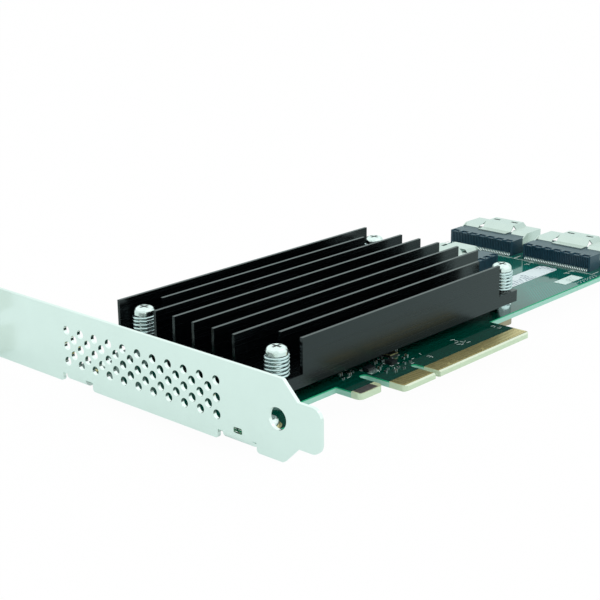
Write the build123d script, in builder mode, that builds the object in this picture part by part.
from build123d import *
import os

os.makedirs("parts", exist_ok=True)

# Frame: X runs along the card away from the bracket, Y up the card, Z out of the component side.
# The origin is the middle of the edge connector's lower edge, on the board's middle plane.

# Board
board_t = 1.57            # thickness
board_front = -69.55      # edge beside the bracket
board_rear = 96.92        # edge at the cable receptacles
board_top = 68.9          # upper edge
board_bottom = 12.0       # lower edge between the foot and the edge connector
board_bottom_rear = 12.6  # lower edge behind the edge connector
foot_bottom = 4.6         # lower edge of the foot at the bracket and of the tab
foot_end = -54.8          # end of the foot at the bracket
tab_start = -36.6         # tab beside the edge connector
tab_end = -28.3
slot_top = 12.6           # end of the slot between the tab and the edge connector
low_corner_r = 1.4        # lower corners of the tab and the edge connector
corner_r = 0.6            # outer corners of the board
top_z = board_t / 2
under_z = -board_t / 2

# Edge connector
edge_len = 51.6           # both sections with the key notch
short_section = 11.35     # section on the bracket's side
key_w = 1.9               # key notch
key_top = 7.9             # end of the key notch
bevel_y = 0.6             # bevel along the lower edge
bevel_z = 0.2
contact_pitch = 1.0
contact_w = 0.7
contact_low = 1.0         # lower end of the gold
contact_high = 4.84       # upper end of the gold
contact_t = 0.06          # gold over the board's face
contact_margin = 0.675    # first contact's centre from its section's end
long_contacts = 38
short_contacts = 11
edge_start = -edge_len / 2
edge_end = edge_len / 2

# Bracket, one folded sheet
sheet_t = 0.86
bracket_face = -70.73     # outer face
bracket_low_z = -2.115    # edge on the solder side
bracket_w = 18.42
bracket_top = 105.4       # outer face of the flange
body_low = -3.3           # lower end of the full width
tail_low = -13.75         # lower end of the tail
tail_w = 10.1
tail_r = 2.5
body_r = 0.8              # corners where the full width ends
flange_depth = 11.43      # flange from the bracket's outer face
flange_over = 3.17        # flange past the plate on the solder side
flange_r = 1.5
fold_r = 1.0
slot_w = 4.42             # screw slot in the flange
slot_depth = 5.2
slot_z = 4.2              # slot's middle
tail_hole_d = 5.0
tail_hole_y = -1.75
tail_hole_z = 7.2

# Vents in the bracket
vent_d = 2.2
vent_pitch = 5.085
vent_columns = 11
vent_top_y = 67.0
vent_mid_z = 7.28
vent_row_pitch = 3.9

# Status light window
window_low = 8.6
window_high = 11.15
window_low_z = 0.65
window_high_z = 1.97
window_r = 0.35

# Ears folded in from the bracket, under the board
ear_len = 9.2             # from the bracket's inner face
ear_1_low, ear_1_high = 60.7, 67.75
ear_2_low, ear_2_high = 5.75, 14.45
relief_above = 1.55       # cut beside each ear, on its upper side
relief_1_below = 2.5      # and on its lower side
relief_2_below = 1.4
relief_z = 0.02           # end of the cuts beside the ears
relief_r = 0.8            # plate's corners at these cuts
ear_fold_r = 1.6
ear_screw_in = 6.37       # screws from the bracket's inner face
ear_screw_up = 2.45       # screws from each ear's lower side

# Bracket screws
ear_screw_d = 2.9
ear_screw_head_d = 5.2
ear_screw_head_h = 1.7
ear_screw_out = 0.6       # shank past the ear
ground_pad_d = 6.4        # plated ring under each head

# Heatsink, one extrusion
sink_start = -54.42
sink_len = 94.6
sink_low_y = 13.6         # face of the lowest fin
fin_t = 0.8
fin_pitch = 6.64
fin_count = 9
base_gap = 2.3            # base over the board
base_t = 3.1
fin_h = 8.6               # fins over the base
setback_front = 8.3       # short fins' ends beside the screws
setback_rear = 8.9
fin_r = 1.2
base_r = 0.5

# Spring screws of the heatsink
screw_in_front = 3.4      # screws from the heatsink's ends and long sides
screw_in_rear = 2.95
screw_in_low = 3.4
screw_in_high = 6.0
screw_d = 3.0
screw_head_d = 5.25
screw_head_h = 1.8
screw_dome_r = 1.2        # rounding of the head
recess_w = 0.62
recess_len = 2.7
recess_depth = 0.9
spring_len = 5.55
spring_od = 6.0
wire_d = 0.6
spring_turns = 6          # the first and the last are closed
coil_gap = 0.03           # between closed turns
run_clearance = 0.3       # screw in the heatsink's base, around the shank
thread_clearance = 0.05   # screw in its standoff, around the shank

# Standoffs for the spring screws
collar_d = 5.6
collar_h = 1.5
neck_d = 4.4
neck_gap = 0.1            # neck under the heatsink's base
standoff_shank_d = 4.2
ring_d = 6.2
ring_t = 2.4
hole_clearance = 0.1      # shanks in the board's holes, around the shank

# Controller under the heatsink
package_w = 27.0
package_t = 1.1
lid_w = 16.0
lid_t = 0.75

# Cable receptacles
receptacle_w = 23.4       # across
housing_depth = 9.5       # moulding's top, front to back
housing_side = 5.6        # bare side of the moulding
housing_gap = 0.35        # moulding over the board
housing_top = 4.6         # moulding's top over the board
shell_t = 0.3
shell_depth = 15.75       # mouth from the ribbed face
wing_start = 8.1          # front edge of the shell's top
wing_top = 5.6            # shell's top over the board
hump_top = 6.7            # middle of the shell over the board
hump_w = 10.4
hump_start = 10.2
ramp_w = 1.1
flap_reach = 5.5          # front end of the foot on the moulding
rib_pitch = 0.6
rib_depth = 0.25
lead_count = 37
lead_w = 0.26
lead_reach = 1.7          # leads in front of the ribbed face
notch_count = 7
tongue_t = 1.0
tongue_w = 21.0
tongue_front = 3.2        # tongue's end from the mouth
receptacle_x = 83.97      # ribbed faces of receptacles 1 and 2
receptacle_1_y = 56.35
receptacle_2_y = 28.95
receptacle_3_gap = 5.8    # turned receptacle behind the heatsink
receptacle_3_y = 40.0     # its ribbed face
seat_gap = 0.05           # shell around the moulding
lip_h = 0.5               # plain lip over the ribs
foot_w = 1.6              # moulding's feet on the board
notch_len = 1.4
notch_bar = 1.0           # between two notches
notch_depth = 0.3
flap_bend = 8.45          # flap's foot to its slope
window_back = 2.2         # latch windows from the mouth
window_y = 3.3
window_x_w = 1.0
window_y_w = 2.4
lip_out = 0.75            # slope at the wings' front edges
side_low = 2.4            # lower end of the sides in front of the wings
lead_t = 0.12
lead_bend = 0.45
lead_rise = 0.5
solder_t = 0.02           # solder under the leads

# Status light and the tab's plated pad
light_depth = 1.4
light_h = 1.2             # lens
light_base_h = 0.2
light_gap = 0.1           # to the board's front edge and the window's ends
tab_pad_len = 6.1
tab_pad_h = 2.4
tab_pad_in = 0.5          # from the tab's sides
tab_pad_up = 0.35

# Small circuits
circuit_h = 0.9
circuit_lift = 0.1
regulator_x, regulator_y = -23.2, 13.2
regulator_len, regulator_w = 2.8, 1.8
pin_pitch = 0.65
pin_w = 0.3
pin_out = 0.6
clock_chip_x, clock_chip_y, clock_chip_w = -16.0, 12.3, 2.2
crystal_x, crystal_y = -11.8, 15.9
crystal_len, crystal_w, crystal_h = 3.0, 2.4, 0.8

# Chip parts: length, width, height and soldered end; then place along and up the card, and turn
capacitor_len, capacitor_w, capacitor_h, capacitor_end = 1.0, 0.5, 0.42, 0.25
resistor_len, resistor_w, resistor_h, resistor_end = 0.8, 0.45, 0.3, 0.2
body_below = 0.02         # body under the soldered ends' faces
capacitor_places = [
    (-29.7, 16.6, 0), (-28.3, 15.0, 0), (-20.6, 12.3, 90), (-18.0, 15.6, 0), (-9.3, 12.9, 90),
    (-19.4, 8.2, 0),
]
resistor_places = [
    (-31.6, 14.2, 0), (-26.4, 15.8, 90), (-16.0, 15.0, 0), (-14.2, 17.0, 90), (-18.7, 13.3, 90),
    (-19.7, 10.4, 0), (-17.0, 9.3, 0), (-11.2, 12.4, 90), (-13.8, 10.0, 90), (-12.2, 9.4, 0),
    (-8.0, 17.2, 0), (-21.4, 9.6, 90), (-14.0, 12.6, 90), (-16.6, 7.9, 0),
]

# Labels
label_end = 80.2
label_len = 36.0
label_w = 6.2
label_y = 28.8
label_r = 1.2
label_t = 0.1
small_label_x, small_label_y = 72.7, 17.5
small_label_len, small_label_w = 9.7, 3.9


ear_screw_x = bracket_face + sheet_t + ear_screw_in
ear_holes = [(ear_screw_x, ear_1_low + ear_screw_up), (ear_screw_x, ear_2_low + ear_screw_up)]
sink_end = sink_start + sink_len
sink_w = (fin_count - 1) * fin_pitch + fin_t
screw_places = [(x, y) for x in (sink_start + screw_in_front, sink_end - screw_in_rear)
                for y in (sink_low_y + screw_in_low, sink_low_y + sink_w - screw_in_high)]


# Board: outline with foot, tab, slot, edge connector and key notch
key_start = edge_start + short_section
slot_r = (edge_start - tab_end) / 2
with BuildPart() as board:
    with BuildSketch(Plane.XY.offset(under_z)) as outline:
        with BuildLine():
            Polyline(
                (board_front, foot_bottom), (foot_end, foot_bottom), (foot_end, board_bottom),
                (tab_start, board_bottom), (tab_start, foot_bottom), (tab_end, foot_bottom),
                (tab_end, slot_top - slot_r), (edge_start, slot_top - slot_r), (edge_start, 0),
                (edge_end, 0), (edge_end, board_bottom_rear), (board_rear, board_bottom_rear),
                (board_rear, board_top), (board_front, board_top), close=True)
        make_face()
        fillet(outline.vertices().filter_by(
            lambda v: v.Y < foot_bottom + 0.01 and v.X > foot_end + 0.01), low_corner_r)
        with Locations((tab_end + slot_r, slot_top - slot_r)):
            Circle(slot_r, mode=Mode.SUBTRACT)
        with Locations((key_start + key_w / 2, 0)):
            Rectangle(key_w, 2 * (key_top - key_w / 2), mode=Mode.SUBTRACT)
        with Locations((key_start + key_w / 2, key_top - key_w / 2)):
            Circle(key_w / 2, mode=Mode.SUBTRACT)
    extrude(amount=board_t)
    with BuildSketch(Plane.YZ.offset(edge_start)):
        for face_z, inner_z in ((top_z, top_z - bevel_z), (under_z, under_z + bevel_z)):
            with BuildLine():
                Polyline((0, face_z), (bevel_y, face_z), (0, inner_z), close=True)
            make_face()
    extrude(amount=edge_len, mode=Mode.SUBTRACT)
    corners = board.edges().filter_by(Axis.Z).filter_by(
        lambda e: e.center().X > board_rear - 0.01 or e.center().Y > board_top - 0.01)
    fillet(corners, corner_r)
    with Locations(*[(x, y, top_z) for x, y in ear_holes]):
        Hole(ear_screw_d / 2 + hole_clearance)
    with Locations(*[(x, y, top_z) for x, y in screw_places]):
        Hole(standoff_shank_d / 2 + hole_clearance)
board.part.label = "circuit_board"
export_step(board.part, "parts/circuit_board.step")


# Gold edge contacts, both faces; three on the component side are shorter
first_x = edge_start + contact_margin
second_x = key_start + key_w + contact_margin
contact_x = [first_x + i * contact_pitch for i in range(short_contacts)]
contact_x += [second_x + i * contact_pitch for i in range(long_contacts)]
short_places = (16, 30)
short_drop = 1.1


def edge_contacts(base_z, short):
    with BuildPart() as contacts:
        for i, x in enumerate(contact_x):
            low = contact_low + (short_drop if i in short else 0)
            with BuildSketch(Plane.XY.offset(base_z)):
                with Locations((x, (low + contact_high) / 2)):
                    Rectangle(contact_w, contact_high - low)
            extrude(amount=contact_t)
    return contacts


front_contacts = edge_contacts(top_z, short_places)
front_contacts.part.label = "edge_contacts_component_side"
export_step(front_contacts.part, "parts/edge_contacts_component_side.step")
back_contacts = edge_contacts(under_z - contact_t, (0,))
back_contacts.part.label = "edge_contacts_solder_side"
export_step(back_contacts.part, "parts/edge_contacts_solder_side.step")


# Bracket: plate with tail, flange folded outwards, two ears folded in under the board
bracket_high_z = bracket_low_z + bracket_w
flange_w = bracket_w + flange_over
tail_in = (bracket_w - tail_w) / 2
ear_low_z = under_z - sheet_t
with BuildPart() as bracket:
    with BuildSketch(Plane.YZ.offset(bracket_face)):
        with BuildLine():
            Polyline(
                (bracket_top, bracket_low_z), (bracket_top, bracket_high_z), (body_low, bracket_high_z),
                (body_low - tail_in, bracket_high_z - tail_in), (tail_low, bracket_high_z - tail_in),
                (tail_low, bracket_low_z + tail_in), (body_low - tail_in, bracket_low_z + tail_in),
                (body_low, bracket_low_z), close=True)
        make_face()
    extrude(amount=sheet_t)
    fillet(bracket.edges().filter_by(Axis.X).group_by(Axis.Y)[0], tail_r)
    fillet(bracket.edges().filter_by(Axis.X).filter_by(lambda e: abs(e.center().Y - body_low) < 0.01), body_r)
    cut_sides = []
    for low, high, below in ((ear_1_low, ear_1_high, relief_1_below), (ear_2_low, ear_2_high, relief_2_below)):
        cut_sides += [low - below, high + relief_above]
        with BuildSketch(Plane.YZ.offset(bracket_face)):
            with BuildLine():
                Polyline(
                    (low - below, bracket_low_z), (low - below, relief_z), (low, relief_z),
                    (low, ear_low_z), (high, ear_low_z), (high, relief_z),
                    (high + relief_above, relief_z), (high + relief_above, bracket_low_z), close=True)
            make_face()
        extrude(amount=sheet_t, mode=Mode.SUBTRACT)
        with BuildSketch(Plane.XY.offset(ear_low_z)):
            with Locations((bracket_face + (sheet_t + ear_len) / 2, (low + high) / 2)):
                Rectangle(sheet_t + ear_len, high - low)
        extrude(amount=sheet_t)
    fillet(bracket.edges().filter_by(Axis.X).filter_by(
        lambda e: abs(e.center().Z - bracket_low_z) < 0.01
        and min(abs(e.center().Y - y) for y in cut_sides) < 0.01), relief_r)
    with BuildSketch(Plane.XZ.offset(-bracket_top)):
        with Locations((bracket_face + sheet_t - (flange_depth + sheet_t) / 2, bracket_high_z - bracket_w / 2)):
            Rectangle(flange_depth + sheet_t, bracket_w)
        with Locations((bracket_face - flange_depth / 2 - fold_r / 2, bracket_high_z - flange_w / 2)):
            Rectangle(flange_depth - fold_r, flange_w)
    extrude(amount=sheet_t)
    fillet(bracket.edges().filter_by(Axis.Y).group_by(Axis.X)[0], flange_r)
    slot_x = bracket_face - flange_depth
    with BuildSketch(Plane.XZ.offset(-bracket_top)):
        with Locations((slot_x + (slot_depth - slot_w / 2) / 2, slot_z)):
            Rectangle(slot_depth - slot_w / 2, slot_w)
        with Locations((slot_x + slot_depth - slot_w / 2, slot_z)):
            Circle(slot_w / 2)
    extrude(amount=sheet_t, mode=Mode.SUBTRACT)
    outer_fold = bracket.edges().filter_by(Axis.Z).filter_by(
        lambda e: e.center().Y > bracket_top - 0.01 and e.center().X > bracket_face)
    fillet(outer_fold, fold_r)
    ear_folds = bracket.edges().filter_by(Axis.Y).filter_by(
        lambda e: abs(e.center().X - bracket_face) < 0.01 and abs(e.center().Z - ear_low_z) < 0.01)
    fillet(ear_folds, ear_fold_r)
    with Locations(*[Plane.XY.offset(under_z).location * Location((x, y, 0)) for x, y in ear_holes]):
        Hole(ear_screw_d / 2 + thread_clearance, depth=sheet_t)
    with BuildSketch(Plane.YZ.offset(bracket_face)):
        with Locations((tail_hole_y, tail_hole_z)):
            Circle(tail_hole_d / 2)
        with Locations(((window_low + window_high) / 2, (window_low_z + window_high_z) / 2)):
            RectangleRounded(window_high - window_low, window_high_z - window_low_z, window_r)
        for i in range(vent_columns):
            column_y = vent_top_y - i * vent_pitch
            with Locations(*[(column_y, vent_mid_z + k * vent_row_pitch) for k in (-1, 0, 1)]):
                Circle(vent_d / 2)
            if i < vent_columns - 1:
                with Locations(*[(column_y - vent_pitch / 2, vent_mid_z + k * vent_row_pitch / 2)
                                 for k in (-1, 1)]):
                    Circle(vent_d / 2)
    extrude(amount=sheet_t, mode=Mode.SUBTRACT)
bracket.part.label = "bracket"
export_step(bracket.part, "parts/bracket.step")


# Plated rings on the board, and the bracket screws through them and the board into the ears
with BuildPart() as ground_pads:
    with BuildSketch(Plane.XY.offset(top_z)):
        with Locations(*ear_holes):
            Circle(ground_pad_d / 2)
            Circle(ear_screw_d / 2 + hole_clearance, mode=Mode.SUBTRACT)
    extrude(amount=contact_t)
ground_pads.part.label = "ground_pads"
export_step(ground_pads.part, "parts/ground_pads.step")

ear_head_z = top_z + contact_t
with BuildPart() as ear_screws:
    with Locations(*[(x, y, ear_head_z) for x, y in ear_holes]):
        Cylinder(ear_screw_head_d / 2, ear_screw_head_h, align=(Align.CENTER, Align.CENTER, Align.MIN))
    fillet(ear_screws.edges().group_by(Axis.Z)[-1], ear_screw_head_h * 0.5)
    with Locations(*[(x, y, ear_head_z) for x, y in ear_holes]):
        Cylinder(ear_screw_d / 2, contact_t + board_t + sheet_t + ear_screw_out,
                 align=(Align.CENTER, Align.CENTER, Align.MAX))
    with Locations(*[(x, y, ear_head_z + ear_screw_head_h) for x, y in ear_holes]):
        Box(recess_len, recess_w, recess_depth, align=(Align.CENTER, Align.CENTER, Align.MAX),
            mode=Mode.SUBTRACT)
        Box(recess_w, recess_len, recess_depth, align=(Align.CENTER, Align.CENTER, Align.MAX),
            mode=Mode.SUBTRACT)
ear_screws.part.label = "bracket_screws"
export_step(ear_screws.part, "parts/bracket_screws.step")


# Heatsink: base plate with nine fins, three of them shorter beside the screws
base_z = top_z + base_gap
base_top = base_z + base_t
fin_top = base_top + fin_h
short_fins = (0, 1, fin_count - 2)
with BuildPart() as heatsink:
    with BuildSketch(Plane.XY.offset(base_z)):
        with Locations((sink_start + sink_len / 2, sink_low_y + sink_w / 2)):
            RectangleRounded(sink_len, sink_w, base_r)
    extrude(amount=base_t)
    for i in range(fin_count):
        front = sink_start + (setback_front if i in short_fins else 0)
        rear = sink_end - (setback_rear if i in short_fins else 0)
        fin_face = sink_low_y + i * fin_pitch
        with BuildSketch(Plane.XZ.offset(-fin_face - fin_t)):
            with BuildLine():
                outline = Polyline(
                    (front, base_top - base_r), (front, fin_top), (rear, fin_top),
                    (rear, base_top - base_r), close=True)
            make_face()
            fillet([v for v in outline.vertices() if v.Z > base_top], fin_r)
        extrude(amount=fin_t)
    with Locations(*[(x, y, base_top) for x, y in screw_places]):
        Hole(screw_d / 2 + run_clearance)
heatsink.part.label = "heatsink"
export_step(heatsink.part, "parts/heatsink.step")


# Springs between the heatsink's base and the screw heads
wire_r = wire_d / 2
coil_r = spring_od / 2 - wire_r
coil_h = spring_len - wire_d
closed_pitch = wire_d + coil_gap
open_pitch = (coil_h - 2 * closed_pitch) / (spring_turns - 2)
coil_points = []
for i in range(16 * spring_turns + 1):
    turn = i / 16
    coil_z = (min(turn, 1) + max(turn - spring_turns + 1, 0)) * closed_pitch
    coil_z += min(max(turn - 1, 0), spring_turns - 2) * open_pitch
    coil_points.append(Vector(coil_r, 0, coil_z).rotate(Axis.Z, 360 * turn))
with BuildPart() as springs:
    with Locations(*[(x, y, base_top + wire_r) for x, y in screw_places]):
        with BuildPart(mode=Mode.PRIVATE) as spring:
            with BuildLine():
                path = Spline(*coil_points)
            with BuildSketch(Plane(origin=path @ 0, z_dir=path % 0)):
                Circle(wire_r)
            sweep(path=path, is_frenet=True)
        add(spring.part)
springs.part.label = "heatsink_springs"
export_step(springs.part, "parts/heatsink_springs.step")


# Screws of the heatsink: domed head with a cross recess, shank down to the standoff's end
head_z = base_top + spring_len
with BuildPart() as sink_screws:
    with Locations(*[(x, y, head_z) for x, y in screw_places]):
        Cylinder(screw_head_d / 2, screw_head_h, align=(Align.CENTER, Align.CENTER, Align.MIN))
    fillet(sink_screws.edges().group_by(Axis.Z)[-1], screw_dome_r)
    with Locations(*[(x, y, head_z) for x, y in screw_places]):
        Cylinder(screw_d / 2, head_z - under_z, align=(Align.CENTER, Align.CENTER, Align.MAX))
    with Locations(*[(x, y, head_z + screw_head_h) for x, y in screw_places]):
        Box(recess_len, recess_w, recess_depth, align=(Align.CENTER, Align.CENTER, Align.MAX),
            mode=Mode.SUBTRACT)
        Box(recess_w, recess_len, recess_depth, align=(Align.CENTER, Align.CENTER, Align.MAX),
            mode=Mode.SUBTRACT)
sink_screws.part.label = "heatsink_screws"
export_step(sink_screws.part, "parts/heatsink_screws.step")


# Threaded standoffs in the board, and the rings that hold them on the solder side
with BuildPart() as standoffs:
    with Locations(*[(x, y, top_z) for x, y in screw_places]):
        Cylinder(collar_d / 2, collar_h, align=(Align.CENTER, Align.CENTER, Align.MIN))
        Cylinder(neck_d / 2, base_gap - neck_gap, align=(Align.CENTER, Align.CENTER, Align.MIN))
    with Locations(*[(x, y, under_z - ring_t) for x, y in screw_places]):
        Cylinder(standoff_shank_d / 2, board_t + ring_t, align=(Align.CENTER, Align.CENTER, Align.MIN))
    with Locations(*[(x, y, base_z) for x, y in screw_places]):
        Hole(screw_d / 2 + thread_clearance)
standoffs.part.label = "heatsink_standoffs"
export_step(standoffs.part, "parts/heatsink_standoffs.step")

with BuildPart() as rings:
    with Locations(*[(x, y, under_z) for x, y in screw_places]):
        Cylinder(ring_d / 2, ring_t, align=(Align.CENTER, Align.CENTER, Align.MAX))
        Hole(standoff_shank_d / 2 + thread_clearance)
rings.part.label = "standoff_rings"
export_step(rings.part, "parts/standoff_rings.step")


# Controller package, its lid and the thermal pad up to the heatsink
chip_x = (screw_places[0][0] + screw_places[-1][0]) / 2
chip_y = (screw_places[0][1] + screw_places[-1][1]) / 2
with BuildPart() as package:
    with BuildSketch(Plane.XY.offset(top_z)):
        with Locations((chip_x, chip_y)):
            Rectangle(package_w, package_w)
    extrude(amount=package_t)
package.part.label = "controller_package"
export_step(package.part, "parts/controller_package.step")

with BuildPart() as lid:
    with BuildSketch(Plane.XY.offset(top_z + package_t)):
        with Locations((chip_x, chip_y)):
            RectangleRounded(lid_w, lid_w, 0.8)
    extrude(amount=lid_t)
lid.part.label = "controller_lid"
export_step(lid.part, "parts/controller_lid.step")

with BuildPart() as pad:
    with BuildSketch(Plane.XY.offset(top_z + package_t + lid_t)):
        with Locations((chip_x, chip_y)):
            RectangleRounded(lid_w, lid_w, 0.8)
    extrude(amount=base_gap - package_t - lid_t)
pad.part.label = "thermal_pad"
export_step(pad.part, "parts/thermal_pad.step")


# Cable receptacle, made with its ribbed face at X = 0, its mouth towards +X and the board's face at Z = 0
half_w = receptacle_w / 2
inner_w = half_w - shell_t - seat_gap
with BuildPart() as moulding:
    with BuildSketch(Plane.XY.offset(housing_gap)):
        with BuildLine():
            Polyline(
                (0, -half_w), (housing_side, -half_w), (housing_side, -inner_w), (housing_depth, -inner_w),
                (housing_depth, inner_w), (housing_side, inner_w), (housing_side, half_w), (0, half_w),
                close=True)
        make_face()
        with GridLocations(rib_pitch, rib_pitch, 1, lead_count):
            Rectangle(2 * rib_depth, rib_pitch / 2, mode=Mode.SUBTRACT)
    extrude(amount=housing_top - housing_gap - lip_h)
    with BuildSketch(Plane.XY.offset(housing_top - lip_h)):
        with BuildLine():
            Polyline(
                (0, -half_w), (housing_side, -half_w), (housing_side, -inner_w), (housing_depth, -inner_w),
                (housing_depth, inner_w), (housing_side, inner_w), (housing_side, half_w), (0, half_w),
                close=True)
        make_face()
    extrude(amount=lip_h)
    with BuildSketch(Plane.XY):
        with Locations((housing_side / 2, half_w - foot_w / 2), (housing_side / 2, foot_w / 2 - half_w)):
            Rectangle(housing_side, foot_w)
    extrude(amount=housing_gap)
    notch_step = receptacle_w / notch_count
    with BuildSketch(Plane.XY.offset(housing_top)):
        with Locations((notch_len / 2, 0)):
            with GridLocations(notch_step, notch_step, 1, notch_count):
                Rectangle(notch_len, notch_step - notch_bar)
    extrude(amount=-notch_depth, mode=Mode.SUBTRACT)
    with BuildSketch(Plane.XY.offset((housing_top - tongue_t) / 2)):
        with Locations(((housing_depth + shell_depth - tongue_front) / 2, 0)):
            Rectangle(shell_depth - tongue_front - housing_depth, tongue_w)
    extrude(amount=tongue_t)

# Shell: folded top with a raised middle, sides down to the board, a flap onto the moulding
ramp_y = hump_w / 2 + ramp_w
fold_shift = shell_t * 0.4
foot_z = housing_top + seat_gap
with BuildPart() as shell:
    with BuildSketch(Plane(origin=(shell_depth, 0, 0), x_dir=(0, -1, 0), z_dir=(-1, 0, 0))):
        with BuildLine():
            Polyline(
                (-half_w, 0), (-half_w, wing_top), (-ramp_y, wing_top), (-hump_w / 2, hump_top),
                (hump_w / 2, hump_top), (ramp_y, wing_top), (half_w, wing_top), (half_w, 0),
                (half_w - shell_t, 0), (half_w - shell_t, wing_top - shell_t),
                (ramp_y - fold_shift, wing_top - shell_t), (hump_w / 2 - fold_shift, hump_top - shell_t),
                (fold_shift - hump_w / 2, hump_top - shell_t), (fold_shift - ramp_y, wing_top - shell_t),
                (shell_t - half_w, wing_top - shell_t), (shell_t - half_w, 0), close=True)
        make_face()
    extrude(amount=shell_depth - wing_start)
    side_front = housing_side + seat_gap
    for side_y in (half_w, shell_t - half_w):
        with BuildSketch(Plane.XZ.offset(-side_y)):
            with BuildLine():
                Polyline(
                    (side_front, side_low), (side_front, housing_top - shell_t), (wing_start, wing_top),
                    (wing_start + shell_t, wing_top), (wing_start + shell_t, side_low), close=True)
            make_face()
        extrude(amount=shell_t)
    with BuildSketch(Plane.XY.offset(foot_z)):
        with Locations(((wing_start + hump_start) / 2, 0)):
            Rectangle(hump_start - wing_start, 2 * ramp_y)
    extrude(amount=hump_top, mode=Mode.SUBTRACT)
    with BuildSketch(Plane.XZ.offset(-hump_w / 2)):
        with BuildLine():
            Polyline(
                (flap_reach, foot_z), (flap_reach, foot_z + shell_t), (flap_bend, foot_z + shell_t),
                (hump_start, hump_top), (hump_start + 2 * shell_t, hump_top),
                (hump_start + 2 * shell_t, hump_top - shell_t), (hump_start + fold_shift, hump_top - shell_t),
                (flap_bend + shell_t, foot_z), close=True)
        make_face()
    extrude(amount=hump_w)
    for side_y in (half_w - shell_t, -ramp_y):
        with BuildSketch(Plane.XZ.offset(-side_y)):
            with BuildLine():
                Polyline(
                    (wing_start - lip_out, foot_z), (wing_start, wing_top), (wing_start + shell_t, wing_top),
                    (wing_start + shell_t, wing_top - shell_t), (wing_start + fold_shift, wing_top - shell_t),
                    (wing_start - lip_out + shell_t, foot_z), close=True)
            make_face()
        extrude(amount=half_w - shell_t - ramp_y)
    with BuildSketch(Plane.XY.offset(wing_top)):
        with Locations((shell_depth - window_back, window_y), (shell_depth - window_back, -window_y)):
            Rectangle(window_x_w, window_y_w)
    extrude(amount=hump_top, mode=Mode.SUBTRACT)

with BuildPart() as lead:
    with BuildSketch(Plane.XZ.offset(-lead_w / 2)):
        with BuildLine():
            Polyline(
                (-lead_reach, 0), (-lead_reach, lead_t), (-lead_bend, lead_t), (-lead_t, lead_rise),
                (-lead_t, housing_gap + lead_rise), (-0.02, housing_gap + lead_rise),
                (-0.02, lead_rise - lead_t), (lead_t - lead_bend, 0), close=True)
        make_face()
    extrude(amount=lead_w)
lead_row = [lead.part.moved(Location((0, (i - (lead_count - 1) / 2) * rib_pitch, solder_t)))
            for i in range(lead_count)]
leads = Compound(children=lead_row)

# Two receptacles at the rear edge, the third turned to open towards the upper edge
receptacle_3_x = sink_end + receptacle_3_gap + half_w
receptacle_places = [
    Location((receptacle_x, receptacle_1_y, top_z)),
    Location((receptacle_x, receptacle_2_y, top_z)),
    Location((receptacle_3_x, receptacle_3_y, top_z), (0, 0, 90)),
]
for number, place in enumerate(receptacle_places, 1):
    for shape, piece in ((moulding.part, "moulding"), (shell.part, "shell"), (leads, "leads")):
        placed = shape.moved(place)
        placed.label = f"receptacle_{number}_{piece}"
        export_step(placed, f"parts/receptacle_{number}_{piece}.step")


# Status light on the board behind the bracket's window: white base and clear lens
with BuildSketch() as light_plan:
    with Locations((board_front + light_gap + light_depth / 2, (window_low + window_high) / 2)):
        Rectangle(light_depth, window_high - window_low - 2 * light_gap)
with BuildPart() as light_base:
    extrude(light_plan.sketch.moved(Location((0, 0, top_z))), amount=light_base_h)
light_base.part.label = "status_light_base"
export_step(light_base.part, "parts/status_light_base.step")
with BuildPart() as status_light:
    extrude(light_plan.sketch.moved(Location((0, 0, top_z + light_base_h))), amount=light_h)
status_light.part.label = "status_light"
export_step(status_light.part, "parts/status_light.step")


# Plated pad on the tab
with BuildPart() as tab_pad:
    with BuildSketch(Plane.XY.offset(top_z)):
        with Locations((tab_start + tab_pad_in + tab_pad_len / 2, foot_bottom + tab_pad_up + tab_pad_h / 2)):
            Rectangle(tab_pad_len, tab_pad_h)
    extrude(amount=contact_t)
tab_pad.part.label = "tab_pad"
export_step(tab_pad.part, "parts/tab_pad.step")


# Small circuits between the heatsink and the edge connector
def square_circuit(x, y, long_side, wide_side, height, lift):
    with BuildPart() as circuit:
        with BuildSketch(Plane.XY.offset(top_z + lift)):
            with Locations((x, y)):
                Rectangle(long_side, wide_side)
        extrude(amount=height)
    return circuit


regulator = square_circuit(regulator_x, regulator_y, regulator_len, regulator_w, circuit_h, circuit_lift)
regulator.part.label = "regulator"
export_step(regulator.part, "parts/regulator.step")

with BuildPart() as regulator_leads:
    for side in (-1, 1):
        y = regulator_y + side * (regulator_w / 2 + pin_out / 2)
        with BuildSketch(Plane.XY.offset(top_z)):
            with Locations((regulator_x, y)):
                with GridLocations(pin_pitch, 1, 4, 1):
                    Rectangle(pin_w, pin_out)
        extrude(amount=circuit_h / 2)
regulator_leads.part.label = "regulator_leads"
export_step(regulator_leads.part, "parts/regulator_leads.step")

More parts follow.
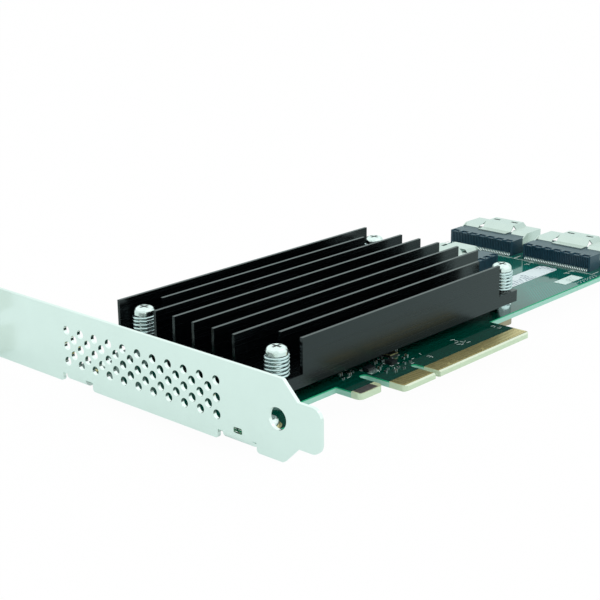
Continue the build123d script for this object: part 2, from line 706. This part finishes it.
clock_chip = square_circuit(clock_chip_x, clock_chip_y, clock_chip_w, clock_chip_w, circuit_h, 0)
clock_chip.part.label = "clock_chip"
export_step(clock_chip.part, "parts/clock_chip.step")

crystal = square_circuit(crystal_x, crystal_y, crystal_len, crystal_w, crystal_h, 0)
crystal.part.label = "crystal"
export_step(crystal.part, "parts/crystal.step")


# Chip capacitors and resistors: a body between two soldered ends
def chip_parts(places, length, width, height, end):
    bodies, ends = [], []
    for x, y, angle in places:
        spot = Location((x, y, top_z), (0, 0, angle))
        with BuildPart() as body:
            Box(length - 2 * end, width - body_below, height - body_below,
                align=(Align.CENTER, Align.CENTER, Align.MIN))
        with BuildPart() as cap:
            with Locations((length / 2 - end / 2, 0), (end / 2 - length / 2, 0)):
                Box(end, width, height, align=(Align.CENTER, Align.CENTER, Align.MIN))
        bodies.append(body.part.moved(spot))
        ends += [s.moved(spot) for s in cap.solids()]
    return Compound(children=bodies), Compound(children=ends)


capacitor_bodies, capacitor_ends = chip_parts(
    capacitor_places, capacitor_len, capacitor_w, capacitor_h, capacitor_end)
capacitor_bodies.label = "capacitors"
export_step(capacitor_bodies, "parts/capacitors.step")
capacitor_ends.label = "capacitor_ends"
export_step(capacitor_ends, "parts/capacitor_ends.step")
resistor_bodies, resistor_ends = chip_parts(
    resistor_places, resistor_len, resistor_w, resistor_h, resistor_end)
resistor_bodies.label = "resistors"
export_step(resistor_bodies, "parts/resistors.step")
resistor_ends.label = "resistor_ends"
export_step(resistor_ends, "parts/resistor_ends.step")


# Labels on the board
with BuildPart() as serial_label:
    with BuildSketch(Plane.XY.offset(top_z)):
        with Locations((label_end - label_len / 2, label_y)):
            RectangleRounded(label_len, label_w, label_r)
    extrude(amount=label_t)
serial_label.part.label = "serial_label"
export_step(serial_label.part, "parts/serial_label.step")

with BuildPart() as small_label:
    with BuildSketch(Plane.XY.offset(top_z)):
        with Locations((small_label_x, small_label_y)):
            Rectangle(small_label_len, small_label_w)
    extrude(amount=label_t)
small_label.part.label = "small_label"
export_step(small_label.part, "parts/small_label.step")
